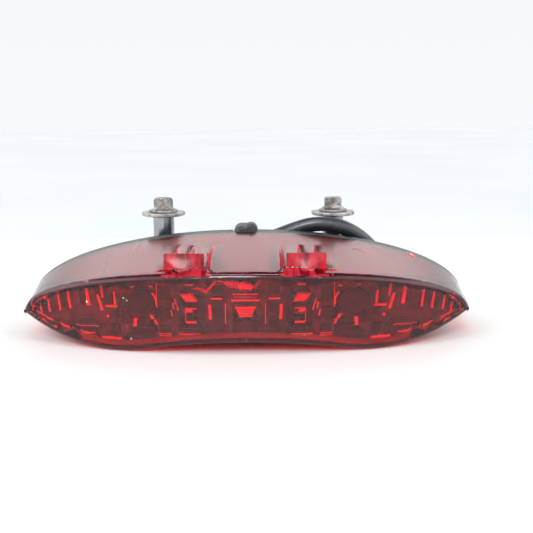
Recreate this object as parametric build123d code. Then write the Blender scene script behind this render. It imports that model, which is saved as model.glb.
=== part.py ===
from build123d import *
import math
import os

# ---------------------------------------------------------------- frame
# Millimetres. X runs across the vehicle, Y from the lit face towards the
# mounting, Z up. Z = 0 is the surface that the two lower lobes rest on.

# Outline of the lamp, a crescent that grows towards the back
OUTLINE_FRONT_Y = -50.0
HALF_WIDTH_FRONT = 92.0
CROWN_FRONT = 19.9
HALF_WIDTH_BACK = 100.0
CROWN_BACK = 30.5
TIP_Z = 12.4
LOBE_X = 52.8
ARCH_RISE = 4.6
TIP_ROUND = 2.0

# Lit face: a cone about an upright axis far behind the lamp
FACE_AXIS_Y = 155.7
FACE_RADIUS_LOW = 201.8
FACE_RADIUS_HIGH = 196.6
FACE_CONE_HEIGHT = 60.0
FACE_CONE_LOW_Z = -5.0
FACE_ROUND = 3.0

# Depths of the seam and of the housing flange behind it
LENS_WALL = 2.0
SEAM_Y = 12.7
FLANGE_BACK_Y = 17.2
SPIGOT_FRONT_Y = 7.7
GLUE_GAP = 0.4
SPIGOT_WALL = 2.0
SEAL_DEPTH = 1.0

# Moulded stops on the top wall
STOP_INNER_X = 17.0
STOP_OUTER_X = 33.5
STOP_PLATE_Y = -33.0
STOP_PLATE_THICK = 1.6
STOP_HEIGHT = 5.8
STOP_RIB_END_Y = -5.0
STOP_RIB_THICK = 1.3
STOP_RIB_X = (14.9, 22.7, 30.0)
STOP_RAMP_DROP = 3.0
STOP_RAMP_LENGTH = 12.0
STOP_RAMP_MARGIN = 1.2
STOP_MIDDLE_X = 25.0
ROOT = 1.0

# Rear shelf with its two rubber mounts
MOUNT_X = 41.0
MOUNT_Y = 36.0
SHELF_HALF = 54.0
SHELF_BACK_Y = 46.5
SHELF_LOW = 25.0
SHELF_HIGH = 30.0
CASE_HALF = 27.0
CASE_BACK_Y = 43.0
CASE_LOW = 5.5
CASE_WALL = 2.5
CASE_FLOOR = 3.6
CASE_ROUND = 5.0
SHELF_ROUND = 11.0
GUSSET_THICK = 2.4
GUSSET_FOOT_Z = 9.0
GUSSET_REACH_Y = 33.0
GROMMET_NECK = 14.0
GROMMET_FLANGE = 20.0
GROMMET_LIP = 4.0

# Fixing set: M6 flange bolt, washer and spacer collar
BOLT_SHANK = 5.4
BOLT_THREAD = 6.0
BOLT_THREAD_LENGTH = 8.6
BOLT_LENGTH = 35.0
BOLT_HEX = 8.0
BOLT_HEX_HEIGHT = 4.3
BOLT_FLANGE = 13.6
BOLT_FLANGE_THICK = 2.4
FIXING_BORE = 6.16
COLLAR_OD = 10.0
COLLAR_LOW = 23.0
COLLAR_HIGH = 47.4
WASHER_OD = 20.7
WASHER_THICK = 1.7

# Board, light sources and reflector
BOARD_Y = -6.0
BOARD_THICK = 1.6
BOARD_INSET = 4.8
BOARD_HALF = 78.0
POSTS = ((36.0, 15.5), (-36.0, 15.5), (60.0, 25.5), (-60.0, 25.5))
POST_RADIUS = 3.2
SCREW_RADIUS = 1.3
LED_SIDE = 4.6
LED_THICK = 1.6
LED_SPOTS = ((0.0, 12.6), (0.0, 27.5), (22.3, 22.0), (22.3, 9.4), (43.0, 21.0), (42.4, 8.4), (67.0, 10.4))
REFLECTOR_RADIUS = 190.5
REFLECTOR_THICK = 2.2
REFLECTOR_INSET = 2.7
CUP_MOUTH = 5.6
CUP_THROAT = 3.6
CUP_WALL = 1.1

# Small parts of the board
LED_DOME = 2.0
SCREW_HEAD = 2.7
SCREW_HEAD_THICK = 2.0
WIRE_Z = 18.0
WIRE_RADIUS = 0.8

# Sealing bead, cable boot and vent
SEAL_HALF = 0.9
NOTCH_LOW_X = -6.6
NOTCH_HIGH_X = 5.0
NOTCH_Y = 14.4
BOOT_X = -0.8
BOOT_Y = 23.4
BOOT_PLUG = 4.5
BOOT_TOP = 44.6
VENT_X = 15.0
VENT_Z = 16.0
VENT_HOLE = 3.0
VENT_CAP_RADIUS = 5.0
VENT_CAP_THICK = 3.0
VENT_CHANNEL = 1.5
MEMBRANE_RADIUS = 3.2
MEMBRANE_LOW_Y = CASE_BACK_Y + 0.6
MEMBRANE_HIGH_Y = CASE_BACK_Y + 1.2
BOOT_LENGTH = 12.0

# Plug on the end of the lead
PLUG_LENGTH = 26.0
PLUG_HALF_WIDE = 7.0
PLUG_HALF_HIGH = 4.3
PLUG_ROUND = 1.2
PIN_SPACING = 4.0
PIN_CHANNEL = 1.2
PIN_CHANNEL_DEPTH = 12.0
LOCK_SLOT = (24.0, 21.0)

# Cable and its route from the boot to the plug
SLEEVE_RADIUS = 3.5
ROUTE = (
    (10.0, 23.4, 37.2),
    (20.5, 23.0, 41.6),
    (31.0, 22.9, 44.7),
    (42.5, 23.0, 44.0),
    (52.5, 24.4, 38.9),
    (62.0, 28.0, 29.2),
    (70.0, 34.2, 20.2),
    (75.2, 43.2, 12.4),
    (76.6, 54.4, 6.8),
    (74.0, 66.2, 3.9),
    (66.5, 76.0, 3.6),
    (55.0, 81.8, 3.6),
    (41.5, 82.6, 3.6),
    (27.5, 79.6, 3.6),
    (12.5, 75.4, 3.8),
    (-3.5, 73.2, 4.4),
    (-19.0, 73.2, 4.4),
)


def at_depth(y):
    """Upright plane at depth y, with its own x along X and its own y along Z."""
    return Plane(origin=(0, y, 0), x_dir=(1, 0, 0), z_dir=(0, -1, 0))


def side_on(x):
    """Upright plane across X, with its own x along Y and its own y along Z."""
    return Plane(origin=(x, 0, 0), x_dir=(0, 1, 0), z_dir=(1, 0, 0))


def slab(x0, x1, y0, y1, z0, z1):
    return Pos((x0 + x1) / 2, (y0 + y1) / 2, (z0 + z1) / 2) * Box(x1 - x0, y1 - y0, z1 - z0)


def rod(x, y, z0, z1, radius):
    """Upright round bar."""
    return Pos(x, y, (z0 + z1) / 2) * Cylinder(radius, z1 - z0)


def bar_y(x, z, y0, y1, radius):
    """Round bar along Y."""
    return Pos(x, (y0 + y1) / 2, z) * Rot(90, 0, 0) * Cylinder(radius, y1 - y0)


def spread(y):
    """Half width and crown height of the lamp's outline at depth y."""
    share = (y - OUTLINE_FRONT_Y) / (FLANGE_BACK_Y - OUTLINE_FRONT_Y)
    half = HALF_WIDTH_FRONT + share * (HALF_WIDTH_BACK - HALF_WIDTH_FRONT)
    crown = CROWN_FRONT + share * (CROWN_BACK - CROWN_FRONT)
    return half, crown


def top_z(x, y):
    """Height of the top wall's outer face."""
    half, crown = spread(y)
    return TIP_Z + crown * math.sqrt(1 - (x / half) ** 2)


def outline(y, inset=0.0):
    """Crescent face at depth y, drawn in by inset: half an ellipse above two lobes and an arch."""
    half, crown = spread(y)
    lobe = ((half - LOBE_X) ** 2 + TIP_Z**2) / (2 * TIP_Z)
    between = (LOBE_X**2 + ARCH_RISE**2) / (2 * ARCH_RISE)
    arch = between - lobe
    lobe_in = lobe - inset
    arch_in = arch + inset
    tip = LOBE_X + math.sqrt(lobe_in**2 - (lobe - TIP_Z) ** 2)
    lean = math.degrees(math.asin(LOBE_X / between))
    rise = math.degrees(math.acos((lobe - TIP_Z) / lobe_in))
    edges = [
        EllipticalCenterArc((0, TIP_Z), tip, crown - inset, start_angle=0, arc_size=180),
        CenterArc((0, ARCH_RISE - arch), arch_in, 90 - lean, 2 * lean),
        CenterArc((LOBE_X, lobe), lobe_in, 270 - lean, lean + rise),
        CenterArc((-LOBE_X, lobe), lobe_in, 270 - rise, lean + rise),
    ]
    return at_depth(y) * make_face(edges)


def body_between(y0, y1, inset=0.0):
    """The lamp's tapering form between two depths."""
    return loft([outline(y0, inset), outline(y1, inset)], ruled=True)


def face_cone(depth):
    """Everything behind the lit face, or behind a surface depth mm further in."""
    cone = Cone(FACE_RADIUS_LOW - depth, FACE_RADIUS_HIGH - depth, FACE_CONE_HEIGHT)
    return Pos(0, FACE_AXIS_Y, FACE_CONE_HEIGHT / 2 + FACE_CONE_LOW_Z) * cone


def stop(side):
    """One moulded stop: an upright plate with three tapering ribs behind it."""
    inner, outer = sorted((side * STOP_INNER_X, side * STOP_OUTER_X))
    y0 = STOP_PLATE_Y - STOP_PLATE_THICK / 2
    y1 = STOP_PLATE_Y + STOP_PLATE_THICK / 2
    top = top_z(STOP_MIDDLE_X, STOP_PLATE_Y) + STOP_HEIGHT
    made = slab(inner, outer, y0, y1, top_z(STOP_OUTER_X, y0) - ROOT, top)
    for x in STOP_RIB_X:
        foot = top_z(x, y1)
        side_view = Polygon(
            (y0, foot - ROOT),
            (y0, top),
            (y1, top),
            (STOP_RIB_END_Y, top_z(x, STOP_RIB_END_Y)),
            (STOP_RIB_END_Y, top_z(x, STOP_RIB_END_Y) - ROOT),
            align=None,
        )
        made += extrude(side_on(side * x - STOP_RIB_THICK / 2) * side_view, STOP_RIB_THICK, dir=(1, 0, 0))
    return made


def stop_ramp(side):
    """The wedge that is taken off the top wall in front of a stop."""
    y1 = STOP_PLATE_Y - STOP_PLATE_THICK / 2
    y0 = y1 - STOP_RAMP_LENGTH
    z1 = top_z(STOP_MIDDLE_X, y1) - 0.2
    clear_z = z1 + STOP_HEIGHT
    inner = side * (STOP_INNER_X - STOP_RAMP_MARGIN)
    side_view = Polygon((y1, z1), (y0, z1 - STOP_RAMP_DROP), (y0, clear_z), (y1, clear_z), align=None)
    wide = STOP_OUTER_X - STOP_INNER_X + STOP_RAMP_MARGIN
    return extrude(side_on(min(inner, side * STOP_OUTER_X)) * side_view, wide, dir=(1, 0, 0))


def lens():
    """Red outer lens: a hollow crescent, open at the back."""
    whole = body_between(OUTLINE_FRONT_Y, SEAM_Y) & face_cone(0)
    ridges = whole.edges().filter_by(lambda e: abs(e.center().X) > 90 and abs(e.center().Z - TIP_Z) < 1)
    whole = fillet(ridges, TIP_ROUND)
    front = whole.edges().filter_by(lambda e: e.center().Y < SEAM_Y - 3 and e.bounding_box().size.Y > 4)
    front = [e for e in front if abs(e.center().X) < 60]
    whole = fillet(front, FACE_ROUND)
    hollow = body_between(OUTLINE_FRONT_Y, SEAM_Y + 1, LENS_WALL) & face_cone(LENS_WALL + 0.2)
    made = whole - hollow
    for side in (1, -1):
        made -= stop_ramp(side)
        made += stop(side)
    return made


def fixing_sides():
    return (("left", -1), ("right", 1))


def housing():
    """Black rear housing: flange, spigot, wire case, shelf with two mounting holes, and board posts."""
    made = body_between(SEAM_Y, FLANGE_BACK_Y)
    ring = body_between(SPIGOT_FRONT_Y, SEAM_Y, LENS_WALL + GLUE_GAP)
    ring -= body_between(SPIGOT_FRONT_Y, SEAM_Y, LENS_WALL + GLUE_GAP + SPIGOT_WALL)
    made += ring
    case = slab(-CASE_HALF, CASE_HALF, SEAM_Y + 1, CASE_BACK_Y, CASE_LOW, SHELF_HIGH)
    upright = case.edges().filter_by(Axis.Z).sort_by(Axis.Y)[-2:]
    made += fillet(upright, CASE_ROUND)
    shelf = slab(-SHELF_HALF, SHELF_HALF, SEAM_Y + 1, SHELF_BACK_Y, SHELF_LOW, SHELF_HIGH)
    upright = shelf.edges().filter_by(Axis.Z).sort_by(Axis.Y)[-2:]
    made += fillet(upright, SHELF_ROUND)
    outer_x = SHELF_HALF - GUSSET_THICK / 2
    inner_x = CASE_HALF + 2
    foot = (SEAM_Y + 1, GUSSET_FOOT_Z)
    for x in (-outer_x, -inner_x, inner_x, outer_x):
        side_view = Polygon(foot, (SEAM_Y + 1, SHELF_LOW + 1), (GUSSET_REACH_Y, SHELF_LOW + 1), align=None)
        made += extrude(side_on(x - GUSSET_THICK / 2) * side_view, GUSSET_THICK, dir=(1, 0, 0))
    for x, z in POSTS:
        made += bar_y(x, z, BOARD_Y + BOARD_THICK, SEAM_Y + 1, POST_RADIUS)
    made -= slab(
        -CASE_HALF + CASE_WALL,
        CASE_HALF - CASE_WALL,
        SPIGOT_FRONT_Y,
        CASE_BACK_Y - CASE_WALL,
        CASE_LOW + CASE_FLOOR,
        SHELF_HIGH - CASE_WALL,
    )
    for x, z in POSTS:
        made -= bar_y(x, z, BOARD_Y - 1, SEAM_Y - 4, SCREW_RADIUS)
    for _, side in fixing_sides():
        made -= rod(side * MOUNT_X, MOUNT_Y, SHELF_LOW - 1, SHELF_HIGH + 1, GROMMET_NECK / 2)
    made -= slab(NOTCH_LOW_X, NOTCH_HIGH_X, NOTCH_Y, FLANGE_BACK_Y + 1, SHELF_HIGH, 60)
    made -= rod(BOOT_X, BOOT_Y, SHELF_HIGH - CASE_WALL - 1, SHELF_HIGH + 1, BOOT_PLUG)
    made -= bar_y(VENT_X, VENT_Z, CASE_BACK_Y - CASE_WALL - 1, CASE_BACK_Y + 1, VENT_HOLE)
    made -= seal_ring()
    return made


def seal_ring():
    """Bead of sealant that the lens's back edge presses on."""
    inset = LENS_WALL / 2 - SEAL_HALF
    ring = body_between(SEAM_Y, SEAM_Y + SEAL_DEPTH, inset)
    return ring - body_between(SEAM_Y, SEAM_Y + SEAL_DEPTH, inset + 2 * SEAL_HALF)


def reflector():
    """Metallised reflector: a curved slab in steps with one cup for each light source."""
    room = body_between(OUTLINE_FRONT_Y, BOARD_Y - 0.5, REFLECTOR_INSET)
    centre = Pos(0, FACE_AXIS_Y, 20)
    front = centre * Cylinder(REFLECTOR_RADIUS, 60)
    back = centre * Cylinder(REFLECTOR_RADIUS - REFLECTOR_THICK, 61)
    made = (front - back) & room
    spots = mirrored_spots()
    cups = [cup(x, z, CUP_WALL) for x, z in spots]
    hollows = [cup(x, z, 0) for x, z in spots]
    made += [c & room & front for c in cups]
    made -= hollows
    made -= [bar_y(x, z, BOARD_Y - 60, BOARD_Y - 0.4, SCREW_HEAD + 0.5) for x, z in POSTS]
    return made


def mirrored_spots():
    """All light sources: the listed ones, and the mirror image of those off the middle."""
    return list(LED_SPOTS) + [(-x, z) for x, z in LED_SPOTS if x > 0]


def cup(x, z, wall):
    """Tapering cup from the slab back to the board."""
    y0 = FACE_AXIS_Y - math.sqrt(REFLECTOR_RADIUS**2 - x**2) - 3
    y1 = BOARD_Y - 0.5
    cone = Cone(CUP_THROAT + wall, CUP_MOUTH + wall, y1 - y0)
    return Pos(x, (y0 + y1) / 2, z) * Rot(90, 0, 0) * cone


def led_board():
    made = body_between(BOARD_Y, BOARD_Y + BOARD_THICK, BOARD_INSET)
    made &= slab(-BOARD_HALF, BOARD_HALF, BOARD_Y, BOARD_Y + BOARD_THICK, 0, 50)
    made -= [bar_y(x, z, BOARD_Y - 1, BOARD_Y + BOARD_THICK + 1, SCREW_RADIUS + 0.1) for x, z in POSTS]
    return made


def leds():
    """Surface-mount light sources with a domed window, one in each cup."""
    half = LED_SIDE / 2
    made = []
    for x, z in mirrored_spots():
        body = slab(x - half, x + half, BOARD_Y - LED_THICK, BOARD_Y, z - half, z + half)
        dome = Pos(x, BOARD_Y - LED_THICK, z) * Sphere(LED_DOME)
        dome -= slab(x - 3, x + 3, BOARD_Y - LED_THICK, BOARD_Y + 1, z - 3, z + 3)
        made.append(body + dome)
    return Compound(children=made)


def resistors():
    """Ballast resistors in two rows on the back of the board."""
    y0 = BOARD_Y + BOARD_THICK
    xs = [x for x in range(-54, 55, 12) if abs(x) > 6]
    rows = [slab(x - 1.6, x + 1.6, y0, y0 + 0.6, z - 0.8, z + 0.8) for x in xs for z in (20.0, 24.5)]
    return Compound(children=rows)


def board_screws():
    """Pan-head screws that hold the board on its posts."""
    made = []
    for x, z in POSTS:
        head = bar_y(x, z, BOARD_Y - SCREW_HEAD_THICK, BOARD_Y, SCREW_HEAD)
        head = fillet(head.edges().sort_by(Axis.Y)[0], 0.8)
        recess = bar_y(x, z, BOARD_Y - SCREW_HEAD_THICK, BOARD_Y - 1, 0.9)
        made.append(head + bar_y(x, z, BOARD_Y, BOARD_Y + 12, SCREW_RADIUS - 0.05) - recess)
    return Compound(children=made)


def wire_header():
    y0 = BOARD_Y + BOARD_THICK
    return slab(-5, 5, y0, y0 + 6, WIRE_Z - 2.5, WIRE_Z + 2.5)


def inner_wires():
    """Three insulated wires from the header to the underside of the cable boot."""
    made = []
    for x in (-2.5, 0, 2.5):
        points = [
            (x, BOARD_Y + BOARD_THICK + 6, WIRE_Z),
            (x, BOOT_Y, WIRE_Z),
            (x, BOOT_Y, SHELF_HIGH - CASE_WALL - 1.5),
        ]
        made.append(tube(points, WIRE_RADIUS))
    return Compound(children=made)


def corner_radius(points, n):
    """Largest tangent arc at the corner n of a route: 0.45 of the shorter run over tan(half the turn)."""
    before = Vector(*points[n]) - Vector(*points[n - 1])
    after = Vector(*points[n + 1]) - Vector(*points[n])
    turn = math.radians(before.get_angle(after))
    return 0.45 * min(before.length, after.length) / math.tan(turn / 2)


def tube(points, radius):
    """Round bar along straight runs joined by tangent arcs."""
    radii = [corner_radius(points, n) for n in range(1, len(points) - 1)]
    path = FilletPolyline(*points, radius=radii)
    start = Plane(origin=path @ 0, z_dir=path % 0)
    made = sweep(start * Circle(radius), path=path)
    length = sum(e.length for e in path.edges())
    print("tube", round(length, 1), "mm, corner radii", [round(r, 1) for r in radii])
    print("  volume over section times length:", round(made.volume / (math.pi * radius**2 * length), 4))
    return made


def grommet(side):
    """Rubber mount with a lip above and below the shelf."""
    x = side * MOUNT_X
    lip = GROMMET_FLANGE / 2
    low = rod(x, MOUNT_Y, SHELF_LOW - GROMMET_LIP, SHELF_LOW, lip)
    high = rod(x, MOUNT_Y, SHELF_HIGH, SHELF_HIGH + GROMMET_LIP, lip)
    low = fillet(low.edges().sort_by(Axis.Z)[0], 1.5)
    high = fillet(high.edges().sort_by(Axis.Z)[-1], 1.5)
    neck = rod(x, MOUNT_Y, SHELF_LOW - 0.5, SHELF_HIGH + 0.5, GROMMET_NECK / 2)
    bore = rod(x, MOUNT_Y, SHELF_LOW - GROMMET_LIP - 1, SHELF_HIGH + GROMMET_LIP + 1, COLLAR_OD / 2)
    return low + neck + high - bore


def collar(side):
    x = side * MOUNT_X
    made = rod(x, MOUNT_Y, COLLAR_LOW, COLLAR_HIGH, COLLAR_OD / 2)
    made = chamfer(made.edges(), 0.4)
    return made - rod(x, MOUNT_Y, COLLAR_LOW - 1, COLLAR_HIGH + 1, FIXING_BORE / 2)


def washer(side):
    x = side * MOUNT_X
    made = rod(x, MOUNT_Y, COLLAR_HIGH, COLLAR_HIGH + WASHER_THICK, WASHER_OD / 2)
    made = fillet(made.edges(), 0.5)
    return made - rod(x, MOUNT_Y, COLLAR_HIGH - 1, COLLAR_HIGH + WASHER_THICK + 1, FIXING_BORE / 2)


def flange_bolt(side, turn):
    """M6 hexagon flange bolt, head up."""
    x = side * MOUNT_X
    z0 = COLLAR_HIGH + WASHER_THICK
    z1 = z0 + BOLT_FLANGE_THICK
    skirt = rod(x, MOUNT_Y, z0, z0 + 1.0, BOLT_FLANGE / 2)
    skirt = fillet(skirt.edges(), 0.4)
    slope = Pos(x, MOUNT_Y, (z0 + z1 + 0.8) / 2) * Cone(BOLT_FLANGE / 2 - 0.4, BOLT_HEX / 2, z1 - z0 - 0.8)
    hexagon = RegularPolygon(BOLT_HEX / 2, 6, major_radius=False, rotation=turn)
    head = extrude(Pos(x, MOUNT_Y, z0 + 0.5) * hexagon, BOLT_HEX_HEIGHT + BOLT_FLANGE_THICK - 0.5)
    crown = Cone(BOLT_HEX / 2 + 4.6, BOLT_HEX / 2 - 0.2, 6.4)
    head_cap = Pos(x, MOUNT_Y, z1 + BOLT_HEX_HEIGHT - 3.2) * crown
    head &= head_cap + rod(x, MOUNT_Y, z0, z1 + 1, BOLT_FLANGE / 2)
    end = z0 - BOLT_LENGTH
    shank = rod(x, MOUNT_Y, end + BOLT_THREAD_LENGTH, z0 + 0.5, BOLT_SHANK / 2)
    thread = rod(x, MOUNT_Y, end, end + BOLT_THREAD_LENGTH, BOLT_THREAD / 2)
    thread = chamfer(thread.edges().sort_by(Axis.Z)[0], 0.8)
    return skirt + slope + head + shank + thread


def cable_boot():
    """Rubber boot in the flange's notch: a humped block with a plug below and an outlet to the side."""
    block = slab(NOTCH_LOW_X + 0.2, NOTCH_HIGH_X - 0.2, NOTCH_Y + 0.2, 28, SHELF_HIGH, BOOT_TOP)
    block = fillet(block.edges().filter_by(Axis.Y).sort_by(Axis.Z)[-2:], 3.5)
    hump = bar_y(NOTCH_HIGH_X - 3.4, BOOT_TOP - 1.8, NOTCH_Y + 0.6, 24, 2.9)
    hump = fillet(hump.edges(), 1.4)
    start = Vector(*ROUTE[0])
    way = (Vector(*ROUTE[1]) - start).normalized()
    outlet = Plane(origin=start - way * 10.5, z_dir=way) * Pos(0, 0, 5.25) * Cone(5.6, 4.7, 10.5)
    outlet &= slab(-30, 30, 0, 60, SHELF_HIGH, 60)
    plug = rod(BOOT_X, BOOT_Y, SHELF_HIGH - CASE_WALL - 1.5, SHELF_HIGH + 1, BOOT_PLUG)
    return block + hump + outlet + plug


def cable_sleeve():
    return tube(ROUTE, SLEEVE_RADIUS)


def connector_boot():
    """Heat-shrink that closes the sleeve's end over the three wires."""
    x, y, z = ROUTE[-1]
    return Pos(x - BOOT_LENGTH / 2, y, z) * Rot(0, -90, 0) * Cone(3.9, 3.4, BOOT_LENGTH)


def plug_end():
    """The face of the plug that the heat-shrink meets: its X, and the plug's middle line."""
    x, y, z = ROUTE[-1]
    return x - BOOT_LENGTH, y, z


def connector_housing():
    """Three-way plug: a keyed block with a collar, a latch rail and three pin channels in its nose."""
    x1, y, z = plug_end()
    top = z + PLUG_HALF_HIGH
    made = slab(x1 - PLUG_LENGTH, x1, y - PLUG_HALF_WIDE, y + PLUG_HALF_WIDE, 0, top)
    made = fillet(made.edges().filter_by(Axis.X), PLUG_ROUND)
    made += slab(x1 - 6, x1 - 3, y - PLUG_HALF_WIDE - 1, y + PLUG_HALF_WIDE + 1, 0, top)
    made += slab(x1 - 20, x1 - 8, y - 2.4, y + 2.4, top - 0.3, top + 1.3)
    for n in (-1, 0, 1):
        pin_y = y + PIN_SPACING * n
        half = PIN_CHANNEL
        nose = x1 - PLUG_LENGTH - 1
        made -= slab(nose, x1 - PIN_CHANNEL_DEPTH, pin_y - half, pin_y + half, z - half, z + half)
    made -= slab(x1 - LOCK_SLOT[0], x1 - LOCK_SLOT[1], y - 7.5, y + 7.5, top - 1.4, top + 0.7)
    return made


def connector_terminals():
    """Brass blades in the plug's channels."""
    x1, y, z = plug_end()
    blades = []
    for n in (-1, 0, 1):
        pin_y = y + PIN_SPACING * n
        blades.append(slab(x1 - 24, x1 - PIN_CHANNEL_DEPTH, pin_y - 0.9, pin_y + 0.9, z - 0.35, z + 0.35))
    return Compound(children=blades)


def connector_lock():
    """Pale locking bar across the plug that holds the terminals in."""
    x1, y, z = plug_end()
    top = z + PLUG_HALF_HIGH
    return slab(x1 - LOCK_SLOT[0], x1 - LOCK_SLOT[1], y - 6.6, y + 6.6, top - 1.4, top)


def vent_cap():
    """Round cap that plugs into the case's hole, with a channel for air and a seat for the membrane."""
    inside_y = CASE_BACK_Y - CASE_WALL
    made = bar_y(VENT_X, VENT_Z, CASE_BACK_Y, CASE_BACK_Y + VENT_CAP_THICK, VENT_CAP_RADIUS)
    made = fillet(made.edges().sort_by(Axis.Y)[-1], 1)
    made += bar_y(VENT_X, VENT_Z, inside_y, CASE_BACK_Y + 1, VENT_HOLE)
    made -= bar_y(VENT_X, VENT_Z, inside_y - 1, MEMBRANE_HIGH_Y, VENT_CHANNEL)
    return made - vent_membrane()


def vent_membrane():
    return bar_y(VENT_X, VENT_Z, MEMBRANE_LOW_Y, MEMBRANE_HIGH_Y, MEMBRANE_RADIUS)


def write(name, shape):
    export_step(shape, f"parts/{name}.step")


os.makedirs("parts", exist_ok=True)
write("lens", lens())
write("housing", housing())
write("lens_seal", seal_ring())
write("reflector", reflector())
write("led_board", led_board())
write("leds", leds())
write("resistors", resistors())
write("board_screws", board_screws())
write("wire_header", wire_header())
write("inner_wires", inner_wires())
for name, side in fixing_sides():
    write(f"grommet_{name}", grommet(side))
    write(f"collar_{name}", collar(side))
    write(f"washer_{name}", washer(side))
    write(f"flange_bolt_{name}", flange_bolt(side, 30 if side > 0 else 2))
write("cable_boot", cable_boot())
write("cable_sleeve", cable_sleeve())
write("connector_boot", connector_boot())
write("connector_housing", connector_housing())
write("connector_terminals", connector_terminals())
write("connector_lock", connector_lock())
write("vent_cap", vent_cap())
write("vent_membrane", vent_membrane())
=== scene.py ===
# %% [markdown]
# # A motorcycle tail light
#
# The lamp is one body: a red lens bonded to a black housing, with a metallised reflector and a
# circuit board inside. Two flange bolts with wide washers stand in steel collars on rubber mounts,
# and a short lead in a black sleeve leaves a rubber boot at the back.
#
# The engineering model is loaded first. It gives the lamp's pieces their places and sizes. What it
# leaves out is added here: the reflector's facets, the threads, the finishes and the light.

# %% Load the frame
import math

import bmesh
import bpy
from mathutils import Matrix, Vector


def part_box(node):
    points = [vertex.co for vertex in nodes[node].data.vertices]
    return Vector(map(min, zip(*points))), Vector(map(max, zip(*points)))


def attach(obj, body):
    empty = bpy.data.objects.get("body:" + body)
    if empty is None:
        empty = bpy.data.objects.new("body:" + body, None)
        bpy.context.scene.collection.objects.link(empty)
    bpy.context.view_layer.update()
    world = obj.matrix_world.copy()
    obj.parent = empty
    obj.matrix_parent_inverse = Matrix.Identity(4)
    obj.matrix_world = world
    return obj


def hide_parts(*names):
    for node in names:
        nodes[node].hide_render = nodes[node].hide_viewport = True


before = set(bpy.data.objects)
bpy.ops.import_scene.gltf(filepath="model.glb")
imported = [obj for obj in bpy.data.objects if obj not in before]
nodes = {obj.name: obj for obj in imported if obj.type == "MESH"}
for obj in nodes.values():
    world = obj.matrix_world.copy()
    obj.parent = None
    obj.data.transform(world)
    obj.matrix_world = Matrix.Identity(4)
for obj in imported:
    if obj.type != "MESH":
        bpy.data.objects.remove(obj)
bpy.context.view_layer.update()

MM = 0.001

# %% [markdown]
# ## Camera
#
# A camera that looks slightly down on a low object shows both its front and its top wall. It stands
# a little to the right of the middle. A long focal length would flatten the lamp; this one keeps
# the top wall's sides drawing together towards the back.

# %% Camera
camera_data = bpy.data.cameras.new("camera")
camera_data.lens = 60.8
camera_data.sensor_width = 36.0
camera_data.clip_start = 0.01
camera = bpy.data.objects.new("camera", camera_data)
camera.location = (0.0092, -0.398, 0.1014)
camera.rotation_euler = (math.radians(79.6), math.radians(0.35), 0.0)
bpy.context.scene.collection.objects.link(camera)
bpy.context.scene.camera = camera
print("camera at", tuple(round(v, 3) for v in camera.location))

# %% [markdown]
# ## Cable sleeve
#
# The lead's sleeve is a soft vinyl tube. It leaves the boot to the right, rises in a hump behind
# the lens, comes down beside the shelf and lies in a loose curve behind the lamp. A NURBS spline
# whose control points are the route gives one smooth line, and the curve's own bevel gives it
# thickness, so the tube stays round through every bend. The bevel is one metre, and each point's
# radius scales it down to the sleeve's, because a curve's box is measured with those radii.

# %% Cable sleeve
SLEEVE_DIAMETER = 0.007
SLEEVE_ROUTE = (
    (10.0, 23.4, 37.2),
    (20.5, 23.0, 41.6),
    (31.0, 22.9, 44.7),
    (42.5, 23.0, 44.0),
    (52.5, 24.4, 38.9),
    (62.0, 28.0, 29.2),
    (70.0, 34.2, 20.2),
    (75.2, 43.2, 12.4),
    (76.6, 54.4, 6.8),
    (74.0, 66.2, 3.9),
    (66.5, 76.0, 3.6),
    (55.0, 81.8, 3.6),
    (41.5, 82.6, 3.6),
    (27.5, 79.6, 3.6),
    (12.5, 75.4, 3.8),
    (-3.5, 73.2, 4.4),
    (-19.0, 73.2, 4.4),
)

sleeve_curve = bpy.data.curves.new("sleeve", "CURVE")
sleeve_curve.dimensions = "3D"
sleeve_curve.bevel_depth = 1.0
sleeve_curve.bevel_resolution = 6
sleeve_curve.resolution_u = 12
sleeve_curve.use_fill_caps = True
spline = sleeve_curve.splines.new("NURBS")
spline.points.add(len(SLEEVE_ROUTE) - 1)
for point, place in zip(spline.points, SLEEVE_ROUTE):
    point.co = (place[0] * MM, place[1] * MM, place[2] * MM, 1.0)
    point.radius = SLEEVE_DIAMETER / 2
spline.order_u = 3
spline.use_endpoint_u = True
sleeve = bpy.data.objects.new("sleeve", sleeve_curve)
bpy.context.scene.collection.objects.link(sleeve)
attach(sleeve, "lamp")
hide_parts("cable_sleeve")
print("sleeve route of", len(SLEEVE_ROUTE), "points")

# %% [markdown]
# ## Studio
#
# One wide pale floor, white near the lamp and faintly blue further back, where a studio's backdrop
# would begin. A floor is enough: a wall behind the lamp would stand in the way when the camera goes
# round to the back.

# %% Floor
BACKDROP_Y = 0.271


def studio_floor():
    """A square floor that belongs to the stage, not to the lamp."""
    made = bmesh.new()
    bmesh.ops.create_grid(made, x_segments=4, y_segments=4, size=3.0)
    mesh = bpy.data.meshes.new("floor")
    made.to_mesh(mesh)
    made.free()
    panel = bpy.data.objects.new("floor", mesh)
    bpy.context.scene.collection.objects.link(panel)
    return panel


floor = studio_floor()
print("floor", tuple(floor.dimensions))


# %% [markdown]
# Materials are node trees. Two short helpers keep them readable: one starts a material and hands
# back its shader, the other adds a node with its settings in one line.

# %% Material helpers
def start_material(name):
    """A new material with an empty tree, one Principled shader and its output."""
    material = bpy.data.materials.new(name)
    material.use_nodes = True
    tree = material.node_tree
    tree.nodes.clear()
    output = tree.nodes.new("ShaderNodeOutputMaterial")
    shader = tree.nodes.new("ShaderNodeBsdfPrincipled")
    tree.links.new(shader.outputs["BSDF"], output.inputs["Surface"])
    return material, tree, shader, output


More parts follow.
